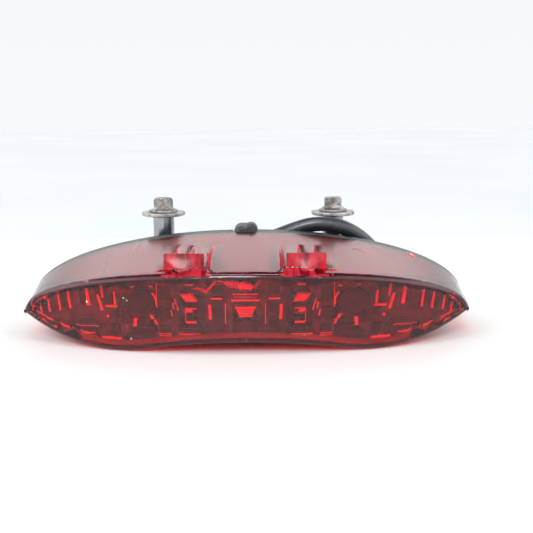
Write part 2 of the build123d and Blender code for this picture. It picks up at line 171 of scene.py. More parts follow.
def add(tree, kind, inputs=None, **settings):
    """A node of that kind with its settings, and its inputs set to a value or linked to a socket."""
    node = tree.nodes.new(kind)
    for key, value in settings.items():
        setattr(node, key, value)
    for key, value in (inputs or {}).items():
        if isinstance(value, bpy.types.NodeSocket):
            tree.links.new(value, node.inputs[key])
        else:
            node.inputs[key].default_value = value
    return node


def object_place(tree):
    """Where a point is in the lamp, in metres: the coordinates that every pattern here reads."""
    return add(tree, "ShaderNodeTexCoord").outputs["Object"]


def ramp(tree, value, stops):
    """A colour ramp through (position, colour) stops."""
    node = add(tree, "ShaderNodeValToRGB", {"Fac": value})
    while len(node.color_ramp.elements) < len(stops):
        node.color_ramp.elements.new(1.0)
    for element, (position, colour) in zip(node.color_ramp.elements, stops):
        element.position = position
        element.color = (*colour, 1.0)
    return node.outputs["Color"]


def spread_value(tree, value, low, high, out_low, out_high):
    """Value between low and high, spread over another range and held at its ends."""
    inputs = {"Value": value, "From Min": low, "From Max": high, "To Min": out_low, "To Max": out_high}
    return add(tree, "ShaderNodeMapRange", inputs).outputs["Result"]


def noise(tree, vector, scale, detail=2.0):
    """A cloudy pattern of values around one half."""
    inputs = {"Vector": vector, "Scale": scale, "Detail": detail}
    return add(tree, "ShaderNodeTexNoise", inputs).outputs["Fac"]


def maths(tree, operation, *values):
    """One sum on one, two or three values."""
    return add(tree, "ShaderNodeMath", dict(enumerate(values)), operation=operation).outputs["Value"]


print("material helpers ready")

# %% Floor paint
def floor_paint():
    """White in front, pale blue from the backdrop line on, both a little cloudy."""
    material, tree, shader, _ = start_material("floor_paint")
    place = object_place(tree)
    cloud = noise(tree, place, 3.0)
    near = ramp(tree, cloud, [(0.35, (0.665, 0.65, 0.64)), (0.65, (0.70, 0.685, 0.675))])
    far = ramp(tree, cloud, [(0.35, (0.545, 0.58, 0.59)), (0.65, (0.585, 0.62, 0.63))])
    back = add(tree, "ShaderNodeSeparateXYZ", {"Vector": place}).outputs["Y"]
    beyond = spread_value(tree, back, BACKDROP_Y - 0.004, BACKDROP_Y + 0.004, 0.0, 1.0)
    both = add(tree, "ShaderNodeMix", {0: beyond, 6: near, 7: far}, data_type="RGBA")
    tree.links.new(both.outputs[2], shader.inputs["Base Color"])
    shader.inputs["Roughness"].default_value = 0.6
    return material


floor.data.materials.append(floor_paint())

# %% [markdown]
# The rim between the top wall and the lit face mirrors everything from the horizon over the ceiling
# to the floor in front. The real rim is dark with one bright line, so the sky is pale near the
# horizon, brightest halfway up and almost black overhead. Two broad soft suns light from the sides,
# a smaller and stronger one in front reaches the reflector's facets, and a narrow strip overhead
# draws the line.

# %% Lights
scene = bpy.context.scene
scene.view_settings.view_transform = "Standard"
sky = bpy.data.worlds.new("studio")
scene.world = sky
sky.use_nodes = True
sky_tree = sky.node_tree
direction = add(sky_tree, "ShaderNodeTexCoord").outputs["Generated"]
height = add(sky_tree, "ShaderNodeSeparateXYZ", {"Vector": direction}).outputs["Z"]
sky_bands = [
    (0.0, (0.58, 0.60, 0.605)),
    (0.22, (0.56, 0.58, 0.585)),
    (0.36, (1.14, 1.14, 1.17)),
    (0.66, (1.08, 1.08, 1.11)),
    (0.80, (0.06, 0.06, 0.065)),
]
glow = ramp(sky_tree, height, sky_bands)
sky_tree.links.new(glow, sky_tree.nodes["Background"].inputs["Color"])
sky_tree.nodes["Background"].inputs["Strength"].default_value = 1.6


def place_light(data, place, target):
    """Stands a lamp at a place, facing the target."""
    light = bpy.data.objects.new(data.name, data)
    light.location = place
    light.rotation_euler = (Vector(target) - Vector(place)).to_track_quat("-Z", "Y").to_euler()
    scene.collection.objects.link(light)


for name, side, strength in (("left_sun", -1, 0.8), ("right_sun", 1, 0.65)):
    sun = bpy.data.lights.new(name, "SUN")
    sun.energy = strength
    sun.angle = math.radians(50)
    place_light(sun, (side * 0.9, -0.35, 0.75), (0.0, 0.0, 0.0))
front_sun = bpy.data.lights.new("front_sun", "SUN")
front_sun.energy = 1.4
front_sun.angle = math.radians(20)
place_light(front_sun, (-0.12, -0.75, 0.6), (0.0, 0.0, 0.0))
strip = bpy.data.lights.new("rim_strip", "AREA")
strip.shape = "RECTANGLE"
strip.size = 0.42
strip.size_y = 0.03
strip.energy = 1.6
place_light(strip, (-0.06, -0.22, 0.8), (0.0, -0.02, 0.03))
print("three suns, a strip and a sky")

# %% [markdown]
# ## Effects that several finishes share
#
# Old parts have dust, fine scratches and cloudy patches. Each is a node group with named inputs, so
# that one recipe serves the lens, the plastic, the rubber and the steel with its own amounts.

# %% Node groups
def start_group(name, inputs, outputs):
    """A shader node group with float inputs (name, default) and named outputs."""
    group = bpy.data.node_groups.new(name, "ShaderNodeTree")
    for label, default in inputs:
        if default is None:
            group.interface.new_socket(name=label, in_out="INPUT", socket_type="NodeSocketVector")
            continue
        socket = group.interface.new_socket(name=label, in_out="INPUT", socket_type="NodeSocketFloat")
        socket.default_value = default
    for label in outputs:
        group.interface.new_socket(name=label, in_out="OUTPUT", socket_type="NodeSocketFloat")
    entry = group.nodes.new("NodeGroupInput")
    leave = group.nodes.new("NodeGroupOutput")
    return group, entry, leave


def make_scratches():
    """Fine scratches: thin threads where a stretched noise crosses its middle value."""
    group, entry, leave = start_group(
        "scratches", [("Vector", None), ("Scale", 60.0), ("Width", 0.01)], ["Mask"]
    )
    turned = add(group, "ShaderNodeMapping", {"Vector": entry.outputs["Vector"]})
    turned.inputs["Rotation"].default_value = (0.3, 0.5, 0.9)
    turned.inputs["Scale"].default_value = (1.0, 0.12, 1.0)
    thread = noise(group, turned.outputs["Vector"], entry.outputs["Scale"], 1.0)
    away = maths(group, "SUBTRACT", thread, 0.5)
    distance = maths(group, "ABSOLUTE", away)
    line = maths(group, "LESS_THAN", distance, entry.outputs["Width"])
    patch = noise(group, entry.outputs["Vector"], 70.0)
    some = maths(group, "GREATER_THAN", patch, 0.58)
    mask = maths(group, "MULTIPLY", line, some)
    group.links.new(mask, leave.inputs["Mask"])
    return group


def make_dust():
    """Dust: cloudy patches of fine specks."""
    group, entry, leave = start_group("dust", [("Vector", None), ("Scale", 400.0), ("Amount", 0.5)], ["Mask"])
    cloud = noise(group, entry.outputs["Vector"], 45.0, 4.0)
    speck = noise(group, entry.outputs["Vector"], entry.outputs["Scale"], 3.0)
    both = maths(group, "MULTIPLY", cloud, speck)
    seen = spread_value(group, both, 0.2, 0.42, 0.0, 1.0)
    mask = maths(group, "MULTIPLY", seen, entry.outputs["Amount"])
    group.links.new(mask, leave.inputs["Mask"])
    return group


def make_grain():
    """Moulded grain: a fine even roughness over a broad unevenness."""
    group, entry, leave = start_group(
        "grain", [("Vector", None), ("Scale", 900.0), ("Broad", 90.0)], ["Height"]
    )
    fine = noise(group, entry.outputs["Vector"], entry.outputs["Scale"])
    broad = noise(group, entry.outputs["Vector"], entry.outputs["Broad"], 1.0)
    height = maths(group, "MULTIPLY_ADD", broad, 0.8, fine)
    group.links.new(height, leave.inputs["Height"])
    return group


SCRATCHES = make_scratches()
DUST = make_dust()
GRAIN = make_grain()


def use_group(tree, group, inputs):
    """One of the shared effects, placed in a material with its own values."""
    return add(tree, "ShaderNodeGroup", dict(inputs), node_tree=group).outputs[0]


def bump(tree, shader, height, strength, distance):
    """Height as a bump on the shader's normal."""
    inputs = {"Height": height, "Strength": strength, "Distance": distance}
    tree.links.new(add(tree, "ShaderNodeBump", inputs).outputs["Normal"], shader.inputs["Normal"])


print("shared effects:", SCRATCHES.name, DUST.name, GRAIN.name)

# %% [markdown]
# ## Meshes from the engineering model
#
# A loaded node is made of loose triangles and stays untouched. For a smooth, welded skin it is
# copied, its doubles are merged, and its edges are marked sharp only where two faces really meet at
# an angle. The copy then stands for the node.

# %% Welded copies
def finish_piece(name, made, body, material, sharp=32.0, replace=None):
    """Turns a bmesh into a smooth piece that rides on a body."""
    mesh = bpy.data.meshes.new(name)
    for face in made.faces:
        face.smooth = True
    made.to_mesh(mesh)
    made.free()
    mesh.set_sharp_from_angle(angle=math.radians(sharp))
    for entry in material if isinstance(material, (list, tuple)) else [material]:
        mesh.materials.append(entry)
    piece = bpy.data.objects.new(name, mesh)
    scene.collection.objects.link(piece)
    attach(piece, body)
    if replace:
        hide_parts(replace)
    return piece


def weld_copy(node):
    """A merged bmesh of a node of the engineering model."""
    made = bmesh.new()
    made.from_mesh(nodes[node].data)
    bmesh.ops.remove_doubles(made, verts=made.verts, dist=2e-6)
    return made


def even_shading(piece):
    """Lets large faces set the shading, so that a small fillet doesn't bend the light beside it."""
    weigh = piece.modifiers.new("even_shading", "WEIGHTED_NORMAL")
    weigh.keep_sharp = True


def smooth_node(node, body, material, sharp=32.0):
    """A welded, smooth piece that stands for a node."""
    piece = finish_piece(f"{node}_skin", weld_copy(node), body, material, sharp, node)
    even_shading(piece)
    return piece


print("welding helpers ready")

# %% [markdown]
# ## Red lens
#
# The lens is red acrylic, moulded in one piece with its two stops. It is glass to the renderer, with
# a tint that only lets red through. Light has to get in for the reflector to show, but a lamp's
# light can't find its way through two curved glass walls by chance, so shadow rays see the lens as a
# film. The colour is in the depth of the plastic, so a wall is redder where the view runs along it.
# The stops get a milkier red below as painted light, and the rim a near-black red as painted shade.
# Dust has settled on the faces that look up.

# %% Red acrylic
CLEAR_DEPTH = 2.0 * MM
ACRYLIC_IOR = 1.49


def absorb(tree, output, red_left, green_left, blue_left):
    """Colour from depth: what is left of each colour after the lens's own wall thickness."""
    strengths = [-math.log(left) / CLEAR_DEPTH for left in (red_left, green_left, blue_left)]
    density = max(strengths)
    colour = [1.0 - strength / density for strength in strengths]
    volume = add(tree, "ShaderNodeVolumeAbsorption", {"Color": (*colour, 1.0), "Density": density})
    tree.links.new(volume.outputs["Volume"], output.inputs["Volume"])


def let_light_in(tree, shader, output, film_colour):
    """Shadow rays pass as through a film, every other ray meets the real shader."""
    film = add(tree, "ShaderNodeBsdfTransparent", {"Color": (*film_colour, 1.0)})
    shadow = add(tree, "ShaderNodeLightPath").outputs["Is Shadow Ray"]
    mixed = add(tree, "ShaderNodeMixShader", {0: shadow, 1: shader.outputs["BSDF"], 2: film.outputs["BSDF"]})
    tree.links.new(mixed.outputs["Shader"], output.inputs["Surface"])


def settled_dust(tree):
    """How much a face looks up, from 0 on the upright lit face to 1 on the top wall."""
    facing = add(tree, "ShaderNodeTexCoord").outputs["Normal"]
    up = add(tree, "ShaderNodeSeparateXYZ", {"Vector": facing}).outputs["Z"]
    return spread_value(tree, up, 0.45, 0.9, 0.0, 1.0)


def red_acrylic():
    """Dusty, finely scratched red glass for the walls."""
    material, tree, shader, output = start_material("red_acrylic")
    place = object_place(tree)
    scratch = use_group(tree, SCRATCHES, {"Vector": place, "Scale": 45.0, "Width": 0.0035})
    dust = use_group(tree, DUST, {"Vector": place, "Scale": 700.0, "Amount": 0.5})
    worn = maths(tree, "MAXIMUM", scratch, dust)
    tint = ramp(tree, worn, [(0.0, (1.0, 0.50, 0.54)), (1.0, (0.88, 0.55, 0.56))])
    tree.links.new(tint, shader.inputs["Base Color"])
    settled = settled_dust(tree)
    smooth = spread_value(tree, worn, 0.0, 1.0, 0.03, 0.16)
    haze = maths(tree, "MULTIPLY_ADD", settled, 0.15, smooth)
    tree.links.new(haze, shader.inputs["Roughness"])
    shader.inputs["IOR"].default_value = ACRYLIC_IOR
    shader.inputs["Transmission Weight"].default_value = 1.0
    wave = noise(tree, place, 35.0, 1.0)
    bump(tree, shader, wave, 0.03, 0.002)
    absorb(tree, output, 0.96, 0.06, 0.22)
    let_light_in(tree, shader, output, (1.0, 0.45, 0.50))
    return material


# %% [markdown]
# The stops and the ramps in front of them look brighter and more solid than the wall around them:
# their many close edges catch light and scatter it. A renderer that follows only a few bounces
# would show them as dark shards, so they get a milkier red of their own.

# %% Stops
HALF_WIDTH_FRONT, HALF_WIDTH_BACK = 92.0 * MM, 100.0 * MM
CROWN_FRONT, CROWN_BACK = 19.9 * MM, 30.5 * MM
TIP_Z = 12.4 * MM
OUTLINE_FRONT_Y, OUTLINE_BACK_Y = -50.0 * MM, 17.2 * MM
STOP_ZONE_X = (13.6 * MM, 34.2 * MM)
STOP_ZONE_Y = (-46.5 * MM, -4.8 * MM)


def top_wall_z(x, y):
    """Height of the top wall's outer face."""
    share = (y - OUTLINE_FRONT_Y) / (OUTLINE_BACK_Y - OUTLINE_FRONT_Y)
    half = HALF_WIDTH_FRONT + share * (HALF_WIDTH_BACK - HALF_WIDTH_FRONT)
    crown = CROWN_FRONT + share * (CROWN_BACK - CROWN_FRONT)
    return TIP_Z + crown * math.sqrt(max(0.0, 1 - (x / half) ** 2))


def stop_red_painted_light():
    """A denser, streaky red for the stops and their ramps: painted light for what their edges scatter."""
    material, tree, shader, output = start_material("stop_red_painted_light")
    place = object_place(tree)
    streak = add(tree, "ShaderNodeMapping", {"Vector": place})
    streak.inputs["Scale"].default_value = (1.0, 0.15, 0.15)
    lines = noise(tree, streak.outputs["Vector"], 420.0)
    tint = ramp(tree, lines, [(0.38, (0.24, 0.003, 0.010)), (0.60, (0.70, 0.022, 0.045))])
    tree.links.new(tint, shader.inputs["Base Color"])
    shader.inputs["Roughness"].default_value = 0.22
    shader.inputs["Specular IOR Level"].default_value = 0.12
    shader.inputs["IOR"].default_value = ACRYLIC_IOR
    shader.inputs["Transmission Weight"].default_value = 0.5
    bump(tree, shader, lines, 0.12, 0.0005)
    let_light_in(tree, shader, output, (0.90, 0.25, 0.28))
    return material


def rim_red_painted_shade():
    """The rim, painted shade: a red that is almost black where the view runs along the wall."""
    material, tree, shader, output = start_material("rim_red_painted_shade")
    place = object_place(tree)
    scratch = use_group(tree, SCRATCHES, {"Vector": place, "Scale": 60.0, "Width": 0.004})
    tint = ramp(tree, scratch, [(0.0, (0.045, 0.002, 0.007)), (1.0, (0.35, 0.08, 0.10))])
    tree.links.new(tint, shader.inputs["Base Color"])
    tree.links.new(spread_value(tree, scratch, 0.0, 1.0, 0.06, 0.3), shader.inputs["Roughness"])
    shader.inputs["IOR"].default_value = ACRYLIC_IOR
    shader.inputs["Transmission Weight"].default_value = 0.2
    wave = noise(tree, place, 35.0, 1.0)
    bump(tree, shader, wave, 0.03, 0.002)
    let_light_in(tree, shader, output, (0.80, 0.30, 0.33))
    return material


def on_rim(face):
    """Whether a lens face is part of the rounded rim above or below the lit face."""
    centre = face.calc_center_median()
    below = top_wall_z(centre.x, centre.y) - centre.z
    rounded = 0.12 < abs(face.normal.z) < 0.93 and face.normal.y < -0.2
    return rounded and (face.normal.z < -0.25 or -0.5 * MM < below < 6 * MM)


def in_stop(face):
    """Whether a lens face belongs to a stop above the top wall or to the ramp cut in front of it."""
    centre = face.calc_center_median()
    if not STOP_ZONE_X[0] < abs(centre.x) < STOP_ZONE_X[1]:
        return False
    if not STOP_ZONE_Y[0] < centre.y < STOP_ZONE_Y[1]:
        return False
    proud = centre.z - top_wall_z(centre.x, centre.y)
    on_ramp = centre.y < -33 * MM and -6 * MM < proud < -0.3 * MM and face.normal.z > 0.5
    return proud > 0.12 * MM or on_ramp


# %% Lens piece
def lens_mesh():
    """The welded lens, with each face given one of the three reds."""
    made = weld_copy("lens")
    made.normal_update()
    for face in made.faces:
        face.material_index = 1 if in_stop(face) else 2 if on_rim(face) else 0
    print("rim faces:", sum(face.material_index == 2 for face in made.faces))
    return made


lens_skin = finish_piece(
    "lens_skin", lens_mesh(), "lamp", [red_acrylic(), stop_red_painted_light(), rim_red_painted_shade()], 30.0, "lens"
)
even_shading(lens_skin)
print("lens skin:", len(lens_skin.data.polygons), "faces")

# %% [markdown]
# ## Reflector
#
# Behind the lens is a plastic moulding with a bright metal coat, cut into many small optics: round
# bowls in front of the light sources, stepped bricks between them and slanted flutes at the tips.
# Which facets look bright and which dark is painted: bright facets get a painted highlight coat and
# dark ones a painted shade coat. The facets are laid out on a flat sheet, where they are easy to
# place, and the sheet is then bent onto the reflector's curve.

# %% Reflector coats
REFLECTOR_AXIS_Y = 0.1557
REFLECTOR_RADIUS = 0.1905
LOBE_X = 52.8 * MM
ARCH_RISE = 4.6 * MM
TIP_REACH = 93.0 * MM
FACET_MARGIN = 2.1 * MM
TIP_LIFT = 5.0 * MM
TIP_LIFT_FROM, TIP_LIFT_TO = 56.0 * MM, 78.0 * MM
LENS_ROOM_RADIUS, LENS_ROOM_SLOPE = 198.6 * MM, 0.087


def metal_coat(name, dark, light, roughness, metal=0.75):
    """Vapour-coated metal, a little cloudy."""
    material, tree, shader, _ = start_material(name)
    place = object_place(tree)
    cloud = noise(tree, place, 180.0, 3.0)
    coat = ramp(tree, cloud, [(0.38, dark), (0.62, light)])
    tree.links.new(coat, shader.inputs["Base Color"])
    shader.inputs["Metallic"].default_value = metal
    shader.inputs["Roughness"].default_value = roughness
    grain = use_group(tree, GRAIN, {"Vector": place, "Scale": 1500.0, "Broad": 220.0})
    bump(tree, shader, grain, 0.25, 0.0004)
    return material


# The plain coat is the moulding's dim metal. The dark coat is the same metal painted darker, as painted shade
# on facets that would face away from the light, and the bright coat is painted near white, as painted
# highlight on facets that would catch it.
coat_plain = metal_coat("reflector_plain", (0.035, 0.034, 0.035), (0.12, 0.118, 0.119), 0.38, 0.7)
coat_painted_shade = metal_coat("reflector_painted_shade", (0.018, 0.017, 0.018), (0.045, 0.044, 0.045), 0.35)
coat_painted_highlight = metal_coat("reflector_painted_highlight", (0.94, 0.93, 0.92), (1.0, 1.0, 1.0), 0.4, 0.15)
PLAIN, PAINTED_SHADE, PAINTED_HIGHLIGHT = 0, 1, 2
reflector_coats = [coat_plain, coat_painted_shade, coat_painted_highlight]


# %% Facets on the flat sheet
SHEET_BACK = 0.4
ROUND_SEGMENTS = 36


def cover(made, fresh, coat):
    """Gives every face on the fresh vertices a coat."""
    for face in {f for v in fresh for f in v.link_faces}:
        face.material_index = coat


def brick(made, x0, x1, z0, z1, proud, coat, lean=0.0, shrink=0.25):
    """A raised facet: a block with a smaller front face, leaned sideways by lean mm towards its top."""
    fresh = bmesh.ops.create_cube(made, size=1.0)["verts"]
    wide = x1 - x0
    tall = z1 - z0
    for v in fresh:
        top = v.co.z + 0.5
        front = 0.5 - v.co.y
        x = (x0 + x1) / 2 + v.co.x * (wide - 2 * shrink * front) + lean * (top - 0.5)
        z = (z0 + z1) / 2 + v.co.z * (tall - 2 * shrink * front)
        v.co = Vector((x, (1 - front) * SHEET_BACK - front * proud, z))
    cover(made, fresh, coat)
    return fresh


def disc(made, x, z, rx, rz, proud, coat, flat=0.5):
    """A round facet with a sloped edge, wider than tall if rx is more than rz."""
    turn = Matrix.Translation((x, -proud / 2 + SHEET_BACK / 2, z)) @ Matrix.Rotation(math.radians(90), 4, "X")
    fresh = bmesh.ops.create_cone(
        made,
        cap_ends=True,
        segments=ROUND_SEGMENTS,
        radius1=1.0,
        radius2=flat,
        depth=proud + SHEET_BACK,
        matrix=turn,
    )["verts"]
    for v in fresh:
        v.co.x = x + (v.co.x - x) * rx
        v.co.z = z + (v.co.z - z) * rz
    cover(made, fresh, coat)
    return fresh


def ring(made, x, z, rx, rz, thick, proud, coat, start=0.0, turn=360.0):
    """A raised rim along a circle or part of one: a small square section, spun and stretched."""
    section = bmesh.ops.create_grid(made, x_segments=1, y_segments=1, size=0.5)["verts"]
    bmesh.ops.scale(made, verts=section, vec=(thick / rx, 1.0, 1.0))
    bmesh.ops.rotate(made, verts=section, cent=(0, 0, 0), matrix=Matrix.Rotation(math.radians(90), 3, "X"))
    bmesh.ops.scale(made, verts=section, vec=(1.0, 1.0, proud + SHEET_BACK))
    for v in section:
        v.co = Vector((v.co.x + 1.0, -v.co.z, 0.0))
    bmesh.ops.translate(made, verts=section, vec=(0.0, -proud / 2 + SHEET_BACK / 2, 0.0))
    before = set(made.verts) - set(section)
    steps = max(8, int(ROUND_SEGMENTS * turn / 360))
    edges = {e for v in section for e in v.link_edges}
    faces = {f for v in section for f in v.link_faces}
    geometry = section + list(edges) + list(faces)
    bmesh.ops.rotate(
        made, verts=section, cent=(0, 0, 0), matrix=Matrix.Rotation(math.radians(-start), 3, "Y")
    )
    bmesh.ops.spin(
        made,
        geom=geometry,
        cent=(0, 0, 0),
        axis=(0, -1, 0),
        angle=math.radians(turn),
        steps=steps,
        use_merge=turn == 360.0,
    )
    fresh = [v for v in made.verts if v not in before]
    for v in fresh:
        v.co.x = x + v.co.x * rx
        v.co.z = z + v.co.z * rz
    cover(made, fresh, coat)
    return fresh


def bottom_wall_z(x, y):
    """Height of the bottom wall's outer face: two lobes with an arch between them."""
    share = (y - OUTLINE_FRONT_Y) / (OUTLINE_BACK_Y - OUTLINE_FRONT_Y)
    half = HALF_WIDTH_FRONT + share * (HALF_WIDTH_BACK - HALF_WIDTH_FRONT)
    lobe = ((half - LOBE_X) ** 2 + TIP_Z**2) / (2 * TIP_Z)
    between = (LOBE_X**2 + ARCH_RISE**2) / (2 * ARCH_RISE)
    arch = between - lobe
    if abs(x) < LOBE_X * arch / between:
        return ARCH_RISE - arch + math.sqrt(arch**2 - x**2)
    return lobe - math.sqrt(max(0.0, lobe**2 - (abs(x) - LOBE_X) ** 2))


def bend_on_reflector(made):
    """Bends the flat sheet onto the reflector's curve, nearer to the lens at the tips, and trims it."""
    for v in made.verts:
        x = max(-TIP_REACH, min(TIP_REACH, v.co.x * MM))
        share = max(0.0, min(1.0, (abs(x) - TIP_LIFT_FROM) / (TIP_LIFT_TO - TIP_LIFT_FROM)))
        lift = TIP_LIFT * share if v.co.y < 0 else 0.0
        room = LENS_ROOM_RADIUS - LENS_ROOM_SLOPE * v.co.z * MM
        radius = min(REFLECTOR_RADIUS - v.co.y * MM + lift, room)
        y = REFLECTOR_AXIS_Y - math.sqrt(radius**2 - x**2)
        low = bottom_wall_z(x, y) + FACET_MARGIN
        high = max(low + 0.1 * MM, top_wall_z(x, y) - FACET_MARGIN)
        v.co = Vector((x, y, max(low, min(high, v.co.z * MM))))


print("facet tools: brick, disc, ring")


# %% [markdown]
# The right half's facets are listed once, and the left half is their mirror image. Each cell is its
# own function, named for what it holds, so that a reader can find it on the lamp.

# %% Centre cell
def centre_cell(made):
    """The upper bowl's dome, the bright steps under it and the lower bowl's ball and rim."""
    disc(made, 0.0, 27.0, 3.1, 2.6, 1.4, PAINTED_HIGHLIGHT, 0.45)
    disc(made, 0.0, 25.6, 2.0, 1.2, 1.9, PLAIN, 0.5)
    for z, half, tall in ((23.7, 5.2, 0.55), (20.9, 5.9, 0.75), (22.3, 5.0, 0.25)):
        brick(made, -half, half, z - tall / 2, z + tall / 2, 1.6, PAINTED_HIGHLIGHT, 0.0, 0.1)
    brick(made, -6.6, 6.6, 18.4, 20.2, 0.7, PAINTED_SHADE)
    for z, half in ((17.7, 4.3), (16.6, 3.6), (15.4, 3.1), (14.3, 2.9)):
        brick(made, -half, half, z - 0.45, z + 0.5, 1.5, PAINTED_HIGHLIGHT, 0.0, 0.12)
    disc(made, 0.0, 13.2, 2.0, 1.7, 2.2, PAINTED_SHADE, 0.4)
    ring(made, 0.0, 9.6, 6.4, 5.6, 0.45, 1.2, PLAIN)
    brick(made, -5.6, 5.6, 6.0, 12.2, 0.4, PAINTED_SHADE)
    for x in (-5.0, 5.0):
        brick(made, x - 2.4, x + 2.4, 3.5, 4.2, 1.1, PAINTED_HIGHLIGHT, 0.0, 0.1)


# %% Narrow arch beside the centre
def arch_cell(made):
    """A tall dark window under an arched rim, with one bright upright facet."""
    brick(made, 9.0, 13.8, 15.2, 20.6, 0.6, PAINTED_SHADE)
    brick(made, 9.0, 13.8, 7.2, 14.4, 0.6, PAINTED_SHADE)
    brick(made, 9.0, 14.4, 23.0, 28.0, 0.6, PAINTED_SHADE)
    brick(made, 9.3, 14.4, 21.2, 21.9, 1.3, PAINTED_HIGHLIGHT, 0.0, 0.15)
    brick(made, 13.9, 15.3, 12.6, 19.0, 1.5, PAINTED_HIGHLIGHT, 0.3, 0.2)
    brick(made, 8.0, 8.45, 11.0, 19.5, 1.3, PAINTED_HIGHLIGHT, 0.0, 0.08)


# %% First bowl to the side
def bowl_cell(made):
    """The hot facet over the bowl, the small ones under it and the lines that widen downwards."""
    brick(made, 20.4, 26.2, 19.6, 23.8, 1.6, PAINTED_HIGHLIGHT, 2.4, 0.9)
    brick(made, 21.3, 25.0, 27.3, 28.8, 1.3, PAINTED_HIGHLIGHT, 0.0, 0.3)
    brick(made, 16.5, 20.0, 12.0, 22.5, 0.5, PAINTED_SHADE)
    brick(made, 25.8, 28.2, 11.0, 19.0, 0.5, PAINTED_SHADE)
    brick(made, 21.9, 24.6, 15.5, 17.0, 1.5, PAINTED_HIGHLIGHT, 0.4, 0.3)
    brick(made, 20.2, 25.0, 16.9, 17.3, 1.3, PAINTED_HIGHLIGHT, 0.0, 0.08)
    brick(made, 24.6, 25.0, 11.2, 16.6, 1.2, PAINTED_HIGHLIGHT, 0.0, 0.08)
    brick(made, 20.2, 24.6, 10.9, 11.6, 1.3, PAINTED_HIGHLIGHT, 0.4, 0.12)
    for n, z in enumerate((8.6, 7.4, 6.2, 4.9)):
        brick(
            made, 16.6 - 0.3 * n, 26.6 + 0.6 * n, z - 0.3, z + 0.3, 1.2, PAINTED_HIGHLIGHT if n == 2 else PLAIN, 0.0, 0.1
        )
        brick(made, 16.6 - 0.3 * n, 26.6 + 0.6 * n, z - 0.9, z - 0.35, 0.6, PAINTED_SHADE, 0.0, 0.1)
    for x, z in ((28.9, 20.0), (28.0, 17.4), (29.8, 18.2), (30.6, 15.0)):
        brick(made, x - 0.25, x + 0.35, z - 1.3, z + 1.3, 1.3, PAINTED_HIGHLIGHT, 0.5, 0.1)


# %% Stack of bricks
def brick_stack(made):
    """Dark squares with bright ledges between them."""
    for z0, z1 in ((20.6, 27.2), (12.6, 17.4), (6.6, 9.8), (3.9, 4.8)):
        brick(made, 31.0, 36.0, z0, z1, 0.6, PAINTED_SHADE)
    for z0, z1, coat in (
        (18.0, 20.1, PLAIN), (10.2, 12.2, PLAIN), (5.9, 6.3, PAINTED_HIGHLIGHT), (5.0, 5.4, PAINTED_HIGHLIGHT), (2.7, 3.6, PAINTED_HIGHLIGHT)
    ):
        brick(made, 30.8, 36.2, z0, z1, 1.1, coat, 0.0, 0.12)
    brick(made, 36.6, 37.0, 17.0, 28.0, 1.3, PAINTED_HIGHLIGHT, 0.0, 0.06)


# %% Outer bowls
def outer_bowls(made):
    """Two bowls one above the other, with their rims and the bright facets between them."""
    ring(made, 44.9, 19.4, 7.9, 6.6, 0.45, 1.0, PLAIN)
    disc(made, 44.9, 19.4, 7.2, 6.0, 0.5, PAINTED_SHADE, 0.95)
    ring(made, 44.9, 19.4, 7.9, 6.6, 0.6, 1.3, PAINTED_HIGHLIGHT, 140.0, 50.0)
    brick(made, 42.0, 50.0, 22.8, 23.1, 1.0, PLAIN, 0.0, 0.08)
    for x in (39.3, 47.2):
        brick(made, x - 0.9, x + 0.9, 26.0, 26.9, 1.2, PAINTED_HIGHLIGHT, 0.0, 0.2)
    brick(made, 38.2, 39.6, 12.2, 14.1, 1.5, PAINTED_HIGHLIGHT, 0.9, 0.2)
    brick(made, 36.8, 37.9, 9.9, 12.0, 1.5, PAINTED_HIGHLIGHT, 0.9, 0.2)
    brick(made, 45.3, 47.0, 8.7, 12.6, 1.6, PAINTED_HIGHLIGHT, -0.4, 0.2)
    brick(made, 40.2, 44.6, 9.2, 12.8, 0.5, PAINTED_SHADE)
    brick(made, 48.0, 52.4, 9.4, 15.0, 0.5, PAINTED_SHADE)
    ring(made, 43.4, 4.3, 6.9, 4.6, 0.4, 1.0, PLAIN)
    disc(made, 43.4, 4.3, 6.2, 4.0, 0.4, PAINTED_SHADE, 0.95)
    brick(made, 38.5, 48.3, 8.2, 8.6, 1.2, PLAIN, 0.0, 0.08)
    brick(made, 38.0, 48.6, 4.4, 4.8, 0.9, PLAIN, 0.0, 0.08)


# %% Steps beside the outer bowls
def side_steps(made):
    """Leaning steps, bright and dark by turns, between the outer bowls and the oval cell."""
    brick(made, 54.4, 55.5, 17.4, 24.0, 1.4, PAINTED_HIGHLIGHT, 0.5, 0.15)
    brick(made, 56.0, 59.4, 17.7, 23.6, 0.6, PAINTED_SHADE, 0.6)
    brick(made, 53.8, 59.2, 16.3, 17.3, 1.1, PAINTED_HIGHLIGHT, 0.0, 0.2)
    brick(made, 60.6, 61.9, 15.0, 22.2, 1.5, PAINTED_HIGHLIGHT, 2.0, 0.15)
    brick(made, 53.2, 56.8, 12.0, 15.6, 0.5, PAINTED_SHADE)
    brick(made, 57.4, 58.9, 11.8, 13.2, 1.2, PAINTED_HIGHLIGHT, 0.0, 0.3)
    brick(made, 53.0, 57.2, 4.4, 9.4, 0.6, PAINTED_SHADE, 0.5)
    brick(made, 52.3, 56.4, 0.4, 3.5, 1.0, PAINTED_HIGHLIGHT, 0.3, 0.4)
    brick(made, 58.2, 62.0, -0.2, 4.2, 0.5, PAINTED_SHADE)


# %% Oval cell
def oval_cell(made):
    """A wide oval bowl ruled with level lines."""
    ring(made, 67.3, 7.4, 7.5, 4.9, 0.6, 1.2, PLAIN)
    disc(made, 67.3, 7.4, 6.8, 4.3, 0.5, PAINTED_SHADE, 0.95)
    for z, half, coat in ((9.9, 4.6, PLAIN), (8.0, 5.2, PAINTED_HIGHLIGHT), (5.9, 5.8, PLAIN), (3.6, 4.2, PLAIN)):
        brick(made, 67.3 - half, 67.3 + half, z - 0.22, z + 0.22, 1.1, coat, 0.0, 0.08)


